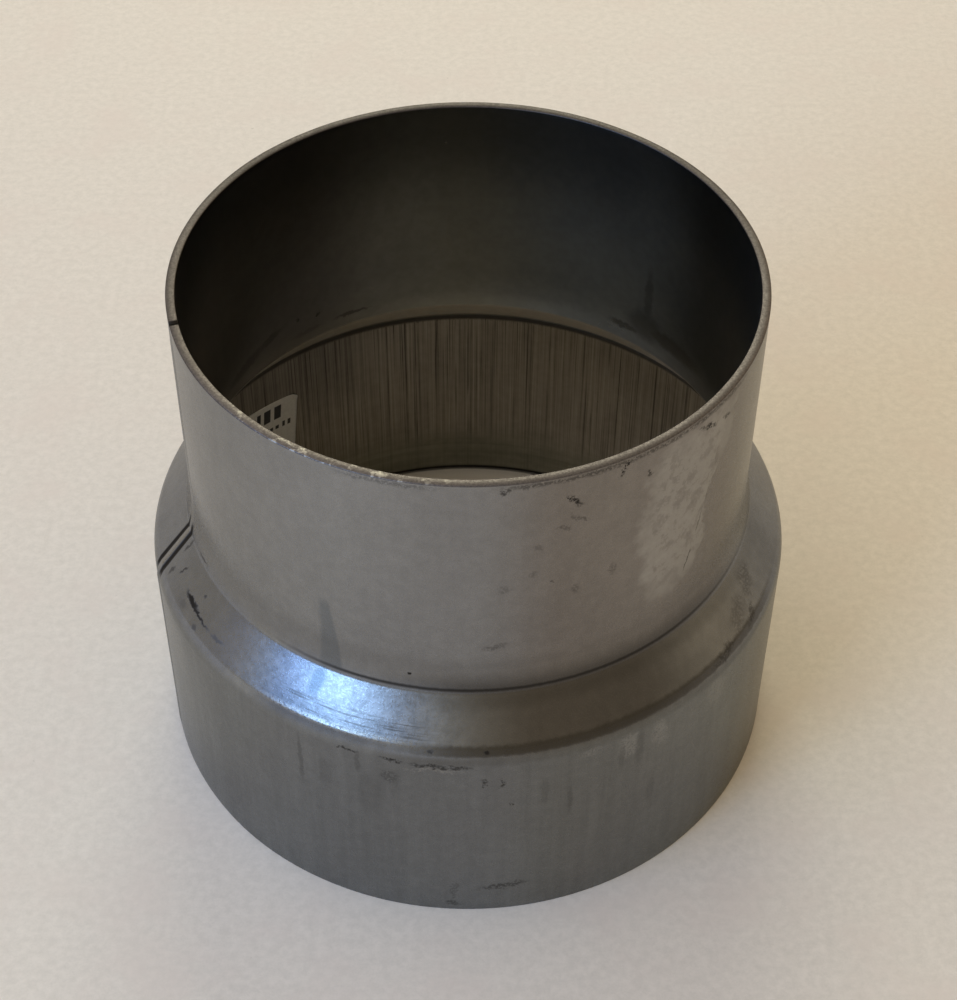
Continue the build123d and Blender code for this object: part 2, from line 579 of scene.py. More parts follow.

# Zones round the outside: azimuths of both ends and their softness
# The right side, where a warm reflection of the floor is painted into the steel
WARM_REFLECTION_SIDE = (279.0, 333.0, 9.0)
# The next five zones place painted highlight, reflection, light and shade on the slope
LEFT_SLOPE = (224.0, 233.0, 4.0)
LIT_SLOPE = (256.0, 268.0, 6.0)
LIT_SLOPE_FOOT = (232.0, 254.0, 6.0)
RIGHT_SLOPE = (315.0, 334.0, 6.0)
SLOPE_END = (340.0, 352.0, 6.0)
GRAINY_SLOPE = (226.0, 266.0, 10.0)
SCRATCHED_SLOPE = (234.0, 262.0, 5.0)
HIGHLIGHTED_BEND = (232.0, 262.0, 4.0)
DARK_LINED_RIM = (276.0, 330.0, 4.0)
FAINT_LINED_RIM = (247.0, 264.0, 4.0)
# Zones that fade slowly: azimuths where they start, are full, begin to fade and end
# The slope's painted dark reflection, then the painted shade about the neck, in its crease and along the
# lower bend
DARK_REFLECTED_SLOPE = (262.0, 284.0, 300.0, 322.0)
SHADED_NECK = (240.0, 272.0, 312.0, 358.0)
LINED_NECK = (226.0, 250.0, 302.0, 352.0)
SHADED_BEND = (252.0, 270.0, 332.0, 346.0)
# The sides, made pale with painted light: azimuths over which the left one ends and the right one begins, and
# how light they are
LEFT_SIDE = (202.0, 222.0)
RIGHT_SIDE = (325.0, 345.0)
SIDE_LIGHT = 1.12
# Painted light and shade on parts of the slope: how much lighter or darker they are, as a share
RIGHT_SLOPE_CHANGE = 0.08
SLOPE_END_CHANGE = -0.24
LIT_SLOPE_FOOT_CHANGE = -0.26

# How strongly each kind of mark, painted shade and painted highlight covers the steel
RUBBED_STRENGTH = 0.68
RUBBED_SMALL_STRENGTH = 0.55
DRIP_STRENGTH = 0.42
DRIP_TAIL_STRENGTH = 0.75
NECK_STRENGTH = 0.72
NECK_LINE_STRENGTH = 0.85
BEND_STRENGTH = 0.70
BEND_FOOT_STRENGTH = 0.3
RIM_LINE_STRENGTH = 0.6
RIM_FAINT_LINE_STRENGTH = 0.4
BEAD_STRENGTH = 0.35
BEND_HIGHLIGHT_STRENGTH = 0.6
SCRATCH_STRENGTH = 0.65

# Marks on the outside: strength, azimuth, height, width, tallness, tilt. First the dark scuffs on the spigot
SCUFFS = (
    (1.00, 289.0, 121.7, 6.0, 2.0, -50),
    (0.75, 276.4, 127.2, 3.6, 2.4, 30),
    (1.00, 298.3, 126.6, 5.8, 1.8, 62),
    (0.80, 303.8, 121.8, 2.6, 2.2, 0),
    (0.85, 318.5, 124.4, 9.0, 1.8, -18),
    (0.65, 324.5, 122.6, 5.6, 1.2, -20),
    (0.45, 290.0, 116.3, 6.0, 2.0, -20),
    (0.40, 287.0, 114.6, 4.6, 1.6, -20),
    (0.30, 282.5, 110.0, 3.6, 2.8, 20),
    (0.30, 281.5, 102.5, 3.0, 2.0, 0),
    (0.35, 290.0, 95.8, 2.8, 4.0, -20),
    (0.28, 276.6, 99.0, 5.0, 2.8, 10),
    (0.40, 275.0, 81.5, 7.0, 2.4, 10),
    (0.40, 297.0, 98.2, 3.0, 4.0, -20),
    (0.80, 285.6, 99.5, 1.2, 1.1, 0),
    (0.50, 195.0, 117.5, 1.2, 6.0, 0),
    (0.60, 331.0, 59.0, 8.0, 2.6, 25),
    (0.35, 328.5, 61.5, 12.0, 6.0, 25),
    (0.55, 321.0, 58.2, 12.0, 2.8, 10),
    (0.40, 335.0, 64.0, 10.0, 6.0, 30),
)
# Scrapes: beside the weld, on the shoulder, and along the right edge of the rubbed patch
SCRAPES = (
    (1.00, 208.6, 61.9, 8.5, 1.6, -4),
    (0.95, 211.0, 61.3, 16.0, 0.8, -4),
    (0.45, 218.8, 61.1, 6.0, 1.2, 4),
    (0.50, 212.6, 59.0, 2.0, 1.4, 0),
    (0.70, 210.9, 64.8, 1.4, 1.1, 0),
    (0.22, 207.1, 59.8, 3.0, 2.0, 0),
    (0.60, 204.8, 69.2, 7.0, 0.8, 5),
    (0.75, 201.7, 63.4, 3.6, 0.9, 60),
    (0.55, 198.4, 66.5, 5.0, 1.0, 80),
    (0.55, 198.8, 60.6, 3.0, 1.5, 70),
    (1.00, 273.1, 57.9, 1.6, 1.2, 0),
    (0.70, 263.7, 57.8, 1.6, 0.9, 0),
    (1.00, 259.0, 72.4, 1.1, 1.1, 0),
    (0.65, 316.2, 87.5, 8.0, 0.6, 71),
    (0.55, 318.6, 97.0, 7.0, 0.6, 71),
    (0.35, 320.4, 104.0, 5.0, 0.6, 71),
)
# Dark specks and smudges on the collar
SPECKS = (
    (0.80, 249.4, 54.6, 6.5, 1.3, -3),
    (0.85, 257.0, 54.2, 7.0, 1.4, -8),
    (0.75, 265.5, 53.7, 18.0, 1.7, -3),
    (0.40, 256.8, 48.4, 6.0, 5.6, -30),
    (0.70, 272.7, 48.2, 1.4, 3.4, 0),
    (0.75, 275.8, 48.2, 1.4, 3.6, 0),
    (0.90, 277.4, 40.3, 1.8, 1.8, 0),
    (0.60, 276.2, 9.0, 15.0, 2.8, 10),
    (0.55, 267.2, 2.6, 4.0, 2.6, 0),
    (0.35, 267.6, 8.0, 1.8, 10.0, 0),
)
# Soft dark runs down the collar
RUNS = (
    (0.30, 240.4, 45.0, 1.6, 22.0, 0),
    (0.16, 245.1, 43.0, 4.0, 16.0, 0),
    (0.26, 251.3, 51.0, 1.6, 10.0, 0),
    (0.14, 253.3, 40.0, 7.0, 22.0, 0),
    (0.26, 287.5, 38.0, 1.5, 13.0, 0),
    (0.16, 283.0, 43.0, 2.6, 12.0, 0),
    (0.22, 296.8, 47.0, 2.0, 12.0, 0),
    (0.20, 300.3, 48.0, 3.0, 16.0, 0),
    (0.16, 303.5, 30.0, 3.0, 12.0, 0),
)
# Pale smears under the bend of the collar
SMEARS = (
    (0.30, 298.0, 51.0, 6.5, 11.0, 10),
    (0.28, 304.5, 50.0, 5.0, 13.0, 10),
    (0.30, 264.0, 52.6, 16.0, 1.6, -3),
    (0.22, 291.0, 53.5, 8.0, 3.0, 0),
    (0.18, 318.0, 50.0, 8.0, 14.0, 10),
    (0.20, 205.0, 45.0, 14.0, 22.0, 0),
)
# The rubbed patch on the right of the spigot: its left and lower edges, its right edge, which leans,
# and a small patch beside it
RUBBED_LEFT = 304.5
RUBBED_BOTTOM = 86.0
RUBBED_RIGHT = 318.0
RUBBED_LEAN = 0.24
RUBBED_SMALL = (325.0, 117.5, 8.0, 15.0, -12)
# A dried drip that ran down to the neck and over it: its left edge, its right edge, which leans,
# how far above the neck it starts, and its tail on the slope
DRIP_LEFT = 241.2
DRIP_RIGHT = 245.5
DRIP_LEAN = -0.14
DRIP_RISE = 20.0
DRIP_TAIL = (241.6, 65.2, 4.6, 8.0, -12)


def slope_tone(steel, warm):
    """The slope's colour: bluish, with painted reflections that make it pale in the light and dark to the
    right of it, and painted light and shade on a few parts.
    """
    azimuth = steel.azimuth
    slope = steel.mix(warm, SLOPE_TONE, SLOPE_WARM_REFLECTION)
    # Painted reflections: a bluish highlight tint, a paler tint left of it and a dark reflection to the right
    slope = steel.mix(steel.band(azimuth, *LIT_SLOPE), slope, SLOPE_HIGHLIGHT_TINT)
    slope = steel.mix(steel.band(azimuth, *LEFT_SLOPE), slope, SLOPE_LEFT_REFLECTION_TINT)
    slope = steel.mix(steel.span(azimuth, *DARK_REFLECTED_SLOPE), slope, SLOPE_DARK_REFLECTION)
    # Painted light and shade: lighter on the right of the slope, darker at its end and low in the light
    slope = steel.shaded(slope, steel.band(azimuth, *RIGHT_SLOPE), RIGHT_SLOPE_CHANGE)
    slope = steel.shaded(slope, steel.band(azimuth, *SLOPE_END), SLOPE_END_CHANGE)
    lit_foot = steel.product(
        steel.band(azimuth, *LIT_SLOPE_FOOT),
        steel.remap(steel.height, slope_foot + 5.0, slope_foot + 1.0),
    )
    return steel.shaded(slope, lit_foot, LIT_SLOPE_FOOT_CHANGE)


def steel_tone(steel, grain):
    """The steel's colour: cloudy and streaked, darker on the collar, warmer on the right with a painted
    reflection, pale at both sides with painted light.
    """
    # Painted warm reflection of the floor on the right side
    warm = steel.band(steel.azimuth, *WARM_REFLECTION_SIDE)
    # Painted light that makes both sides paler
    sides = steel.product(
        steel.remap(steel.azimuth, *LEFT_SIDE, SIDE_LIGHT, 1.0),
        steel.remap(steel.azimuth, *RIGHT_SIDE, 1.0, SIDE_LIGHT),
    )
    spigot = steel.scaled(steel.mix(warm, SPIGOT_TONE, SPIGOT_WARM_REFLECTION), sides)
    collar = steel.scaled(steel.mix(warm, COLLAR_TONE, COLLAR_WARM_REFLECTION), sides)
    over_collar = steel.remap(steel.height, COLLAR_LENGTH - 0.5, COLLAR_LENGTH + 2.0)
    over_neck = steel.remap(steel.height, neck_height - 1.0, neck_height + 4.0)
    tone = steel.mix(over_collar, collar, slope_tone(steel, warm))
    tone = steel.mix(over_neck, tone, spigot)
    streaks = steel.product(
        steel.remap(steel.drawn(steel.here, *STREAKS), 0.3, 0.7, -0.055, 0.055),
        steel.remap(steel.height, neck_height, COLLAR_LENGTH, 0.4, 1.0),
    )
    level = steel.product(
        steel.remap(steel.noise(steel.here, *CLOUD), 0.25, 0.75, 0.95, 1.05),
        steel.remap(steel.noise(steel.here, *MOTTLE), 0.3, 0.7, 0.965, 1.035),
        steel.math("ADD", streaks, 1.0),
        steel.remap(grain, 0.25, 0.75, 0.97, 1.03),
    )
    return steel.scaled(tone, level)


def rubbed_patch(steel):
    """Mask of the rubbed patch, cloudy and veined, with a ragged outline that is crisp on the right."""
    frayed = steel.parts(steel.frayed(*RUBBED_FRAY))
    azimuth = steel.math("DIVIDE", frayed["X"], arc_per_degree)
    height = frayed["Y"]
    leaning = steel.math("MULTIPLY_ADD", height, -RUBBED_LEAN, azimuth)
    right = RUBBED_RIGHT - RUBBED_LEAN * RUBBED_BOTTOM
    inside = steel.product(
        steel.remap(azimuth, RUBBED_LEFT - 2.5, RUBBED_LEFT + 2.5),
        steel.remap(leaning, right + 0.6, right - 0.6),
        steel.remap(height, RUBBED_BOTTOM - 5.0, RUBBED_BOTTOM + 6.0),
        steel.remap(height, HEIGHT - 1.0, HEIGHT - 8.0),
    )
    blotch = steel.noise(steel.here, *RUBBED_BLOTCHES)
    off_vein = steel.math("ABSOLUTE", steel.math("SUBTRACT", blotch, 0.5))
    veins = steel.remap(off_vein, 0.025, 0.0, 0.0, 0.3)
    cloudy = steel.math("ADD", steel.remap(blotch, 0.32, 0.64, 0.1, 0.85), veins)
    edge = steel.product(inside, steel.math("SUBTRACT", 1.0, inside), 0.8)
    small = steel.spot(steel.frayed(RUBBED_SMALL_FRAY), *RUBBED_SMALL)
    return steel.strongest(
        steel.math("ADD", steel.product(inside, cloudy), edge),
        steel.product(small, RUBBED_SMALL_STRENGTH),
    )


def dried_drip(steel):
    """Mask of the drip on the spigot, which widens towards the neck, and of its tail on the slope."""
    leaning = steel.math("MULTIPLY_ADD", steel.height, -DRIP_LEAN, steel.azimuth)
    right = DRIP_RIGHT - DRIP_LEAN * neck_height
    run = steel.product(
        steel.remap(steel.azimuth, DRIP_LEFT - 0.8, DRIP_LEFT + 0.6),
        steel.remap(leaning, right + 0.8, right),
        steel.band(steel.height, neck_height + 0.5, neck_height + DRIP_RISE, 1.5),
        DRIP_STRENGTH,
    )
    tail = steel.product(steel.spot(steel.flat, *DRIP_TAIL), DRIP_TAIL_STRENGTH)
    return steel.math("ADD", run, tail)


def neck_shade(steel):
    """Mask of the painted shade about the neck, strongest at the front and the right."""
    zone = steel.math("POWER", steel.remap(steel.height, neck_height + 14.0, neck_height + 0.8), 2.5)
    above = steel.product(
        zone,
        steel.remap(steel.height, neck_height - 0.6, neck_height + 0.8),
        NECK_STRENGTH,
    )
    below = steel.band(steel.height, neck_height - 2.6, neck_height, 1.2)
    broad = steel.product(
        steel.span(steel.azimuth, *SHADED_NECK),
        steel.math("MULTIPLY_ADD", below, 0.3, above),
    )
    all_round = steel.product(steel.band(steel.height, neck_height + 0.8, neck_height + 9.0, 2.5), 0.25)
    return steel.strongest(broad, all_round)


def neck_crease_shade(steel):
    """Mask of the painted shade in the crease of the neck, a dark line from the front to the right."""
    height = steel.parts(steel.frayed(NECK_LINE_FRAY))["Y"]
    line = steel.band(height, neck_height + 0.6, neck_height + 1.3, 0.3)
    return steel.product(line, steel.span(steel.azimuth, *LINED_NECK), NECK_LINE_STRENGTH)


def bend_shade(steel):
    """Mask of the painted shade along the lower bend of the shoulder, from the front to the right."""
    height = steel.parts(steel.frayed(BEND_FRAY))["Y"]
    bend = steel.span(height, COLLAR_LENGTH + 0.4, COLLAR_LENGTH + 1.2, slope_foot + 0.1, slope_foot + 1.0)
    under = steel.band(height, COLLAR_LENGTH - 1.5, COLLAR_LENGTH + 1.0, 1.0)
    band = steel.strongest(
        steel.product(bend, BEND_STRENGTH),
        steel.product(under, BEND_FOOT_STRENGTH),
    )
    return steel.product(steel.span(steel.azimuth, *SHADED_BEND), band)


def rim_dark_line(steel, broken):
    """Mask of the ragged dark line under the rim's outer edge, on the near right and fainter in front."""
    height = steel.parts(steel.frayed(RIM_LINE_FRAY))["Y"]
    line = steel.band(height, HEIGHT - 1.7, HEIGHT - 0.5, 0.5)
    along = steel.strongest(
        steel.product(steel.band(steel.azimuth, *DARK_LINED_RIM), RIM_LINE_STRENGTH),
        steel.product(steel.band(steel.azimuth, *FAINT_LINED_RIM), RIM_FAINT_LINE_STRENGTH),
    )
    return steel.product(line, along, broken)


def off_seam(steel):
    """How far a point is from the middle of the weld, in millimetres along the wall."""
    degrees = steel.math("SUBTRACT", steel.azimuth, SEAM_AZIMUTH)
    return steel.math("ABSOLUTE", steel.product(degrees, arc_per_degree))


def weld_grooves(steel):
    """Mask of the dark undercuts beside the weld, on the shoulder."""
    on_shoulder = steel.band(steel.height, COLLAR_LENGTH + 0.3, neck_height + 2.2, 1.0)
    off_groove = steel.math("ABSOLUTE", steel.math("SUBTRACT", off_seam(steel), undercut_middle))
    return steel.product(steel.remap(off_groove, 0.95, 0.5), on_shoulder)


def weld_bead(steel):
    """Mask of the bright bead between the undercuts, on the shoulder."""
    on_shoulder = steel.band(steel.height, COLLAR_LENGTH + 1.0, neck_height + 1.0, 1.0)
    return steel.product(steel.remap(off_seam(steel), 0.9, 0.5), on_shoulder, BEAD_STRENGTH)


def slope_scratches(steel):
    """Mask of the fine level scratches low on the lit slope."""
    return steel.product(
        steel.band(steel.height, slope_foot + 0.8, slope_foot + 4.0, 0.6),
        steel.band(steel.azimuth, *SCRATCHED_SLOPE),
        steel.remap(steel.drawn(steel.flat, *SCRATCHES), 0.5, 0.62),
        SCRATCH_STRENGTH,
    )


def bend_highlight(steel, broken):
    """Mask of the painted highlight along the lower bend, in the light."""
    return steel.product(
        steel.band(steel.height, slope_foot - 0.2, slope_foot + 0.8, 0.4),
        steel.band(steel.azimuth, *HIGHLIGHTED_BEND),
        broken,
        BEND_HIGHLIGHT_STRENGTH,
    )


def outer_steel():
    """Rolled steel of the outside: satin, grainy on the slope, with all its wear and grime and its painted
    light, shade and reflections.
    """
    steel = Wall("outer_steel")
    grain = steel.noise(steel.here, *GRAIN)
    broken = steel.remap(steel.noise(steel.here, *BREAKS), 0.38, 0.54)
    in_light = steel.product(
        steel.band(steel.height, slope_foot, neck_height, 0.6),
        steel.band(steel.azimuth, *GRAINY_SLOPE),
    )
    # Painted patchiness of the highlight on the lit slope
    blotches = steel.remap(steel.noise(steel.here, *LIT_BLOTCHES), 0.3, 0.7, -0.22, 0.22)
    rub = rubbed_patch(steel)
    smears = steel.product(steel.spots(steel.frayed(*SMEAR_FRAY), SMEARS), broken)
    runs = steel.spots(steel.frayed(RUN_FRAY), RUNS)
    # Dirt and wear marks, with the painted shade in the crease of the neck
    dirt_and_shade = steel.strongest(
        steel.product(steel.spots(steel.frayed(*SCUFF_FRAY), SCUFFS + SPECKS), broken),
        steel.spots(steel.frayed(SCRAPE_FRAY), SCRAPES),
        rim_dark_line(steel, broken),
        weld_grooves(steel),
        neck_crease_shade(steel),
    )

    colour = steel.shaded(steel_tone(steel, grain), blotches, in_light)
    bright = steel.strongest(steel.product(rub, RUBBED_STRENGTH), smears, weld_bead(steel))
    colour = steel.mix(bright, colour, BURNISH_AND_GLINT)
    colour = steel.mix(bend_highlight(steel, broken), colour, BURNISH_AND_GLINT)
    colour = steel.mix(dried_drip(steel), colour, DRIED)
    colour = steel.mix(steel.strongest(neck_shade(steel), bend_shade(steel)), colour, SHADE_AND_SCRATCH_DARK)
    colour = steel.mix(slope_scratches(steel), colour, SHADE_AND_SCRATCH_DARK)
    colour = steel.mix(runs, colour, GRIME_AND_SHADE)
    colour = steel.mix(dirt_and_shade, colour, GRIME_AND_SHADE)

    roughness = steel.remap(grain, 0.3, 0.7, 0.33, 0.25)
    roughness = steel.math("MULTIPLY_ADD", rub, 0.10, roughness)
    roughness = steel.math("MULTIPLY_ADD", dirt_and_shade, 0.25, roughness)
    relief = steel.product(grain, steel.math("MULTIPLY_ADD", in_light, 1.8, 0.3))
    normal = steel.bump(relief, 0.3, 0.04)
    return steel.finish(
        Base_Color=colour, Specular_Tint=STEEL_EDGE, Metallic=1.0, Roughness=roughness, Normal=normal
    )


# Colours of the inside: those of the left, the right, the edges and the slope paint its light and shade
INNER_LEFT_SHADE = (0.110, 0.105, 0.094, 1.0)
INNER_MIDDLE_TONE = (0.270, 0.280, 0.255, 1.0)
INNER_RIGHT_LIGHT = (0.280, 0.335, 0.405, 1.0)
INNER_EDGE_SHADE = (0.150, 0.165, 0.170, 1.0)
INNER_SLOPE_LIGHT = (0.98, 0.95, 0.86, 1.0)
INNER_COLLAR_TONE = (0.305, 0.283, 0.242, 1.0)
INNER_FOOT_TONE = (0.238, 0.236, 0.192, 1.0)
# Azimuths over which one colour passes into the next
LEFT_TO_MIDDLE = (132.0, 94.0)
MIDDLE_TO_RIGHT = (94.0, 60.0)
RIGHT_TO_EDGE = (50.0, 25.0)
BACK_TO_EDGE = (290.0, 355.0)
RIGHT_OF_LIP = (55.0, 75.0)
# The part of the collar darkened by painted shade: azimuths of both ends and their softness, and how much
# darker it is
DIM_COLLAR = (110.0, 250.0, 12.0)
DIM_COLLAR_CHANGE = -0.4
# Noises drawn out down and round the wall: scale along each axis, detail and roughness
DRAG = ((2.1, 2.1, 0.014), 3.0, 0.75)
HOOPS = ((0.015, 0.015, 0.4), 3.0, 0.6)
LINE_FADING = ((0.5, 0.5, 0.05), 2.0, 0.5)
# Azimuths of the longest drag lines down the inside of the collar, and the strength of each
DRAG_LINES = (
    (136.6, 0.7), (127.4, 0.8), (125.8, 0.6), (115.4, 0.6), (107.4, 0.8),
    (103.3, 0.9), (101.3, 0.7), (92.7, 0.7), (90.1, 0.8), (84.9, 0.6),
    (76.7, 0.7), (62.8, 0.9), (59.3, 0.6), (47.9, 0.8), (45.4, 0.6),
)
DRAG_LINE_WIDTH = 0.8
# Dark stains on the inside: strength, azimuth, height, width, tallness, tilt
STAINS = (
    (0.36, 45.2, 85.0, 4.0, 24.0, 0),
    (0.46, 45.5, 76.0, 18.0, 13.0, 0),
    (0.56, 51.5, 72.8, 14.0, 3.4, 0),
    (0.58, 37.0, 75.5, 32.0, 7.0, 0),
    (0.35, 130.0, 71.3, 14.0, 2.2, 0),
    (0.90, 132.6, 76.8, 1.6, 1.6, 0),
    (0.90, 127.0, 75.6, 1.5, 1.5, 0),
    (0.65, 118.0, 71.4, 14.0, 1.6, 0),
    (0.65, 141.5, 76.4, 14.0, 3.2, -12),
    (0.75, 149.5, 74.4, 22.0, 5.0, -11),
)
STAIN_FRAY = 1.2
# How strongly the painted shade in the crease of the shoulder and the painted shadow along the foot darken
# the steel
CREASE_STRENGTH = 0.9
FOOT_LINE_STRENGTH = 0.8


def drag_lines(steel, dragged):
    """Mask of the longest drag lines, which come and go down the wall."""
    lines = []
    for azimuth, strength in DRAG_LINES:
        off_line = steel.math("ABSOLUTE", steel.math("SUBTRACT", steel.azimuth, azimuth))
        lines.append(steel.remap(off_line, DRAG_LINE_WIDTH / 2 / arc_per_degree, 0.0, 0.0, strength))
    fading = steel.remap(steel.drawn(steel.here, *LINE_FADING), 0.3, 0.6)
    return steel.product(steel.strongest(*lines), fading, dragged)


def inner_tone_and_light(steel, in_collar, near_foot):
    """The inside's colour with painted light and shade: darker and warmer on the left, lighter on the right
    and on the slope, darker at the edges.
    """
    azimuth = steel.azimuth
    height = steel.height
    # Painted shade on the left and at the edges, painted light on the right
    spigot = steel.mix(steel.remap(azimuth, *LEFT_TO_MIDDLE), INNER_LEFT_SHADE, INNER_MIDDLE_TONE)
    spigot = steel.mix(steel.remap(azimuth, *MIDDLE_TO_RIGHT), spigot, INNER_RIGHT_LIGHT)
    edge = steel.strongest(steel.remap(azimuth, *RIGHT_TO_EDGE), steel.remap(azimuth, *BACK_TO_EDGE))
    spigot = steel.mix(edge, spigot, INNER_EDGE_SHADE)
    # Painted light above the shoulder on the right, and painted light and shade by height
    above_lip = steel.product(
        steel.remap(height, neck_height + 6.0, neck_height),
        steel.remap(azimuth, *RIGHT_OF_LIP),
    )
    up = steel.product(
        steel.remap(height, HEIGHT - 6.0, HEIGHT - 30.0, 0.62, 1.1),
        steel.remap(height, HEIGHT - 32.0, HEIGHT - 55.0, 1.0, 0.80),
        steel.math("MULTIPLY_ADD", above_lip, 0.42, 1.0),
    )
    # Painted light on the inner slope
    on_slope = steel.band(height, COLLAR_LENGTH + 2.5, neck_height - 1.0, 0.8)
    tone = steel.mix(on_slope, steel.scaled(spigot, up), INNER_SLOPE_LIGHT)
    # Painted shade on part of the collar
    dim = steel.product(
        steel.band(azimuth, *DIM_COLLAR),
        steel.remap(height, COLLAR_LENGTH - 30.0, COLLAR_LENGTH - 8.0),
    )
    collar = steel.mix(near_foot, INNER_COLLAR_TONE, INNER_FOOT_TONE)
    return steel.mix(in_collar, tone, steel.shaded(collar, dim, DIM_COLLAR_CHANGE))


def inner_steel():
    """The inside: the same sheet, with drag lines down the collar, hoops near the foot, a few stains, and
    painted shade in the crease of the shoulder and along the foot.
    """
    steel = Wall("inner_steel")
    height = steel.height
    in_collar = steel.remap(height, COLLAR_LENGTH + 0.5, COLLAR_LENGTH - 1.0)
    cloud = steel.noise(steel.here, *CLOUD)
    near_foot = steel.remap(steel.math("MULTIPLY_ADD", cloud, 14.0, height), 26.0, 14.0)
    drag = steel.drawn(steel.here, *DRAG)
    dragged = steel.product(in_collar, steel.remap(near_foot, 0.0, 1.0, 1.0, 0.25))
    ridges = steel.product(steel.math("SUBTRACT", drag, 0.5), dragged)
    deep = steel.remap(height, 16.0, COLLAR_LENGTH - 4.0, 0.3, 0.85)
    furrows = steel.product(steel.remap(drag, 0.44, 0.32), dragged, deep)
    hoops = steel.product(steel.math("SUBTRACT", steel.drawn(steel.here, *HOOPS), 0.5), near_foot)
    mottle = steel.remap(steel.noise(steel.here, *MOTTLE), 0.3, 0.7, -0.04, 0.04)

    level = steel.math("ADD", mottle, steel.remap(cloud, 0.25, 0.75, 0.92, 1.08))
    level = steel.math("MULTIPLY_ADD", ridges, 1.9, level)
    level = steel.math("MULTIPLY_ADD", hoops, 0.9, level)
    colour = steel.scaled(inner_tone_and_light(steel, in_collar, near_foot), level)

    # Painted shade in the crease of the shoulder and painted shadow along the foot
    crease = steel.band(height, COLLAR_LENGTH - 0.9, COLLAR_LENGTH + 1.4, 0.6)
    dirt_and_shade = steel.strongest(
        furrows,
        drag_lines(steel, dragged),
        steel.spots(steel.frayed(STAIN_FRAY), STAINS),
        steel.product(crease, CREASE_STRENGTH),
        steel.product(steel.remap(height, 1.2, 0.6), FOOT_LINE_STRENGTH),
    )
    colour = steel.mix(dirt_and_shade, colour, GRIME_AND_SHADE)

    roughness = steel.math("MULTIPLY_ADD", cloud, -0.08, 0.33)
    normal = steel.bump(ridges, 0.25, 0.05)
    return steel.finish(Base_Color=colour, Metallic=1.0, Roughness=roughness, Normal=normal)


# Cut ends: their colours, and their noises by scale per millimetre, detail and roughness, one of which places
# the painted burr glints
CUT_DARK = (0.113, 0.103, 0.100, 1.0)
CUT_BRIGHT = (0.180, 0.164, 0.162, 1.0)
CUT_GRAIN = (2.2, 4.0, 0.75)
BURR_GLINTS = (0.45, 3.0, 0.6)
# Zones of the cut ends: azimuths of both ends and their softness
GLINTING_RIM = (222.0, 264.0, 8.0)
LEFT_RIM = (172.0, 212.0, 8.0)
BACK_RIM = (15.0, 155.0, 22.0)
BURR_GLINT_STRENGTH = 0.8
LEFT_RIM_CHANGE = -0.13
BACK_RIM_CHANGE = -0.34


def cut_steel():
    """The cut ends: grainy and dull, darker at the back, with small painted burr glints and grime in the
    slit.
    """
    steel = Wall("cut_steel")
    grain = steel.noise(steel.here, *CUT_GRAIN)
    # Painted glints on the burred edge in front
    burr_glints = steel.product(
        steel.remap(steel.noise(steel.here, *BURR_GLINTS), 0.54, 0.66),
        steel.band(steel.azimuth, *GLINTING_RIM),
        BURR_GLINT_STRENGTH,
    )
    level = steel.math("MULTIPLY_ADD", steel.band(steel.azimuth, *LEFT_RIM), LEFT_RIM_CHANGE, 1.0)
    level = steel.math("MULTIPLY_ADD", steel.band(steel.azimuth, *BACK_RIM), BACK_RIM_CHANGE, level)
    colour = steel.scaled(steel.mix(steel.remap(grain, 0.3, 0.7), CUT_DARK, CUT_BRIGHT), level)
    colour = steel.mix(burr_glints, colour, BURNISH_AND_GLINT)
    colour = steel.mix(steel.remap(off_seam(steel), 1.2, 0.6), colour, GRIME_AND_SHADE)
    roughness = steel.remap(grain, 0.2, 0.8, 0.6, 0.42)
    normal = steel.bump(grain, 0.35, 0.06)
    return steel.finish(Base_Color=colour, Metallic=1.0, Roughness=roughness, Normal=normal)


# Label: its colours, and the noise of its fibres by scale per millimetre, detail and roughness
PAPER = (0.80, 0.785, 0.75)
PRINT = (0.02, 0.02, 0.022, 1.0)
FIBRE = (1.2, 4.0, 0.6)
# Plain printed blocks on the label: along and up from its middle, width and tallness
PRINT_BLOCKS = (
    (12.0, 8.6, 1.4, 4.4),
    (15.0, 8.6, 2.4, 4.4),
    (18.6, 8.6, 2.4, 4.4),
    (16.6, 3.6, 1.2, 1.2),
    (18.6, 3.6, 1.2, 1.2),
    (20.8, 3.8, 0.9, 1.8),
    (22.6, 3.8, 1.0, 1.8),
    (-6.0, 8.6, 28.0, 1.6),
    (-8.0, 3.0, 24.0, 1.2),
    (-4.0, -1.5, 32.0, 1.2),
    (-10.0, -6.0, 20.0, 1.2),
)


def label_paper():
    """Matte paper, slightly yellowed, with plain printed blocks."""
    paper = Wall("label_paper")
    fibre = paper.noise(paper.here, *FIBRE)
    colour = paper.scaled(PAPER, paper.remap(fibre, 0.3, 0.7, 0.94, 1.04))
    roll_out = MAP_RADIUS / COLLAR_BORE_RADIUS
    blocks = []
    for along, up, width, tall in PRINT_BLOCKS:
        sideways, height = on_label(along, up)
        azimuth = LABEL_AZIMUTH - sideways * roll_out / arc_per_degree
        blocks.append(paper.block(paper.flat, azimuth, height, width * roll_out, tall, LABEL_TILT))
    ink = paper.product(paper.strongest(*blocks), paper.remap(fibre, 0.2, 0.4, 0.7, 0.96))
    colour = paper.mix(ink, colour, PRINT)
    normal = paper.bump(fibre, 0.2, 0.02)
    return paper.finish(Base_Color=colour, Roughness=0.75, Normal=normal)


# Stage

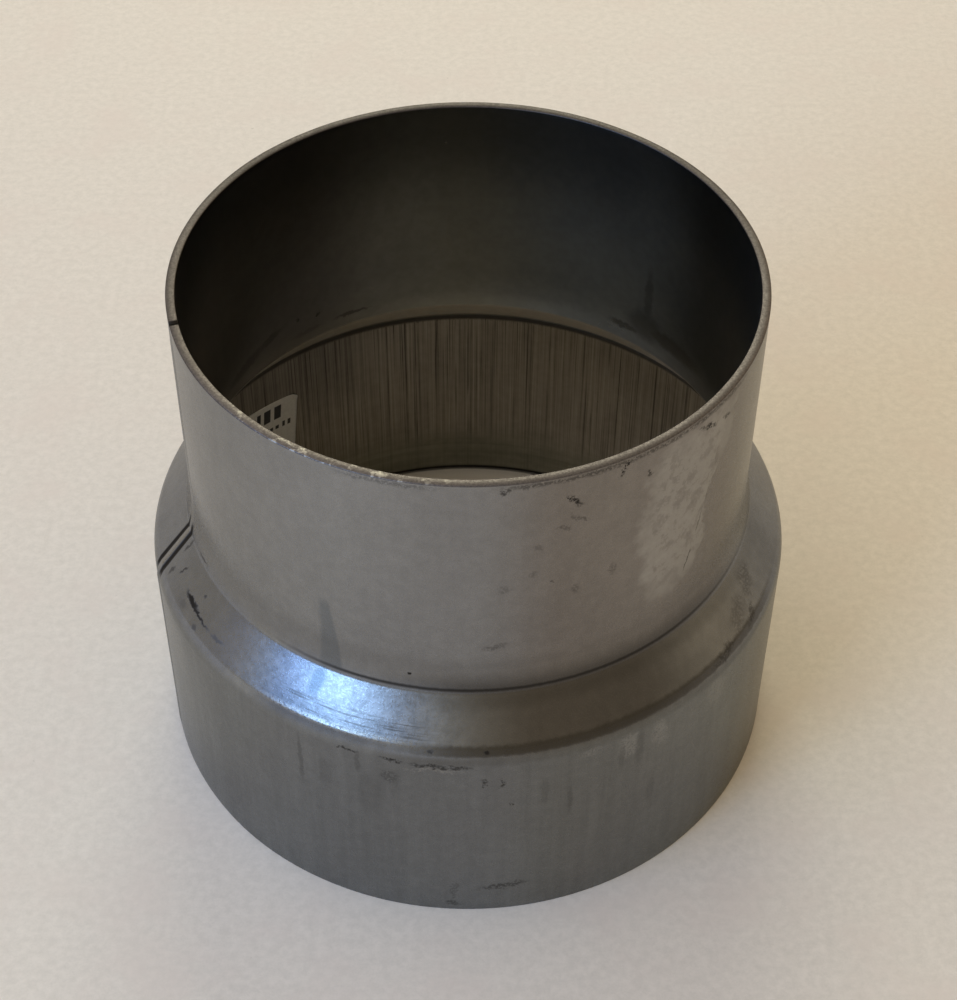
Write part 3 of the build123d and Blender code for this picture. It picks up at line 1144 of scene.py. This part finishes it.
# Colours of the floor, of the painted light inside the bore, and of the painted contact shadow, a dark line
# where the foot meets it
FLOOR_PALE = (0.863, 0.811, 0.742, 1.0)
FLOOR_DARK = (0.743, 0.702, 0.638, 1.0)
FLOOR_TINT = (0.80, 0.722, 0.66, 1.0)
FLOOR_INSIDE_LIGHT = (0.98, 0.91, 0.81, 1.0)
FLOOR_SPECK = (0.50, 0.46, 0.41, 1.0)
CONTACT_SHADOW = (0.10, 0.09, 0.08, 1.0)
CONTACT_SHADOW_STRENGTH = 0.9
# Noises of the floor: scale per millimetre, detail and roughness
FLOOR_GRAIN = (0.4, 5.0, 0.75)
FLOOR_BLOTCHES = (0.035, 4.0, 0.6)
FLOOR_SPECKS = (0.45, 2.0, 0.5)


def floor_paint():
    """Pale cream floor with a fine uneven grain and a few specks, painted light inside the bore, and a
    painted contact shadow, a dark line where the foot meets it.
    """
    paint = Surface("floor")
    place = paint.place()
    grain = paint.noise(place, *FLOOR_GRAIN)
    blotch = paint.noise(place, *FLOOR_BLOTCHES)
    specks = paint.noise(place, *FLOOR_SPECKS)
    out = paint.length(place)
    # Painted light inside the bore and a painted contact shadow under the foot
    in_bore = paint.remap(out, COLLAR_BORE_RADIUS, COLLAR_BORE_RADIUS - 4.0)
    under_foot = paint.band(out, COLLAR_BORE_RADIUS - 0.6, COLLAR_RADIUS - 0.5, 0.3)
    colour = paint.mix(paint.remap(grain, 0.25, 0.75), FLOOR_DARK, FLOOR_PALE)
    colour = paint.mix(paint.remap(blotch, 0.45, 0.75, 0.0, 0.6), colour, FLOOR_TINT)
    colour = paint.mix(paint.remap(specks, 0.24, 0.18, 0.0, 0.5), colour, FLOOR_SPECK)
    colour = paint.mix(in_bore, colour, FLOOR_INSIDE_LIGHT)
    colour = paint.mix(paint.product(under_foot, CONTACT_SHADOW_STRENGTH), colour, CONTACT_SHADOW)
    normal = paint.bump(grain, 0.2, 0.1)
    return paint.finish(Base_Color=colour, Roughness=0.65, Normal=normal)


def add_floor():
    """A large level floor, which belongs to the stage."""
    half = FLOOR_SIZE / 2 * MM
    corners = [(-half, -half, 0), (half, -half, 0), (half, half, 0), (-half, half, 0)]
    mesh = bpy.data.meshes.new("floor")
    mesh.from_pydata(corners, [], [(0, 1, 2, 3)])
    mesh.materials.append(floor_paint())
    add_object("floor", mesh)


# Lights stand at this distance from the point that they face
LIGHT_DISTANCE = 2000.0
LIGHT_TARGET = (0.0, 0.0, 60.0)
# Soft panels: name, azimuth, elevation, width and height, and radiance in red, green and blue
PANELS = (
    ("back_panel", 90.0, 29.0, (930.0, 720.0), (5.45, 5.28, 4.10)),
    ("side_panel", 210.0, 29.0, (930.0, 720.0), (0.29, 1.11, 3.29)),
    ("window", 226.0, 26.0, (700.0, 500.0), (4.40, 7.30, 11.20)),
    ("high_panel", 180.0, 62.0, (2900.0, 1000.0), (0.98, 0.97, 1.03)),
    ("right_panel", 30.0, 29.0, (2700.0, 720.0), (0.35, 0.17, 0.02)),
)


def add_panel(name, azimuth, elevation, size, radiance):
    """A rectangular light that faces the object, unseen by the camera."""
    light = bpy.data.lights.new(name, "AREA")
    light.shape = "RECTANGLE"
    light.size = size[0] * MM
    light.size_y = size[1] * MM
    peak = max(radiance)
    light.color = [part / peak for part in radiance]
    light.energy = peak * pi * light.size * light.size_y
    piece = add_object(name, light)
    piece.visible_camera = False
    level = cos(radians(elevation))
    turn = radians(azimuth)
    outward = Vector((level * cos(turn), level * sin(turn), sin(radians(elevation))))
    piece.location = (Vector(LIGHT_TARGET) + outward * LIGHT_DISTANCE) * MM
    piece.rotation_euler = outward.to_track_quat("Z", "Y").to_euler()


ROOM = (0.45, 0.38, 0.27, 1.0)


def light_world():
    """A dim warm room."""
    world = bpy.data.worlds.new("room")
    bpy.context.scene.world = world
    world.use_nodes = True
    world.node_tree.nodes["Background"].inputs["Color"].default_value = ROOM


def add_camera():
    """The camera of the photograph."""
    data = bpy.data.cameras.new("camera")
    data.sensor_width = SENSOR_WIDTH
    data.lens = SENSOR_WIDTH * FOCAL_PIXELS / max(IMAGE_SIZE)
    camera = add_object("camera", data)
    turn = (
        Matrix.Rotation(radians(CAMERA_YAW), 4, "Z")
        @ Matrix.Rotation(radians(90 - CAMERA_PITCH), 4, "X")
        @ Matrix.Rotation(radians(CAMERA_ROLL), 4, "Z")
    )
    camera.matrix_world = Matrix.Translation(Vector(CAMERA_PLACE) * MM) @ turn
    bpy.context.scene.camera = camera


steels = {"outside": outer_steel(), "inside": inner_steel(), "cut": cut_steel()}
shell = add_object("reducer_shell", tube_mesh(steels))
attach(shell, "root")
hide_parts("reducer_body")

label = add_object("label_sheet", label_mesh(label_paper()))
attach(label, "root")
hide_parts("paper_label")

add_floor()
for panel in PANELS:
    add_panel(*panel)
light_world()
add_camera()
bpy.context.scene.view_settings.view_transform = "Standard"
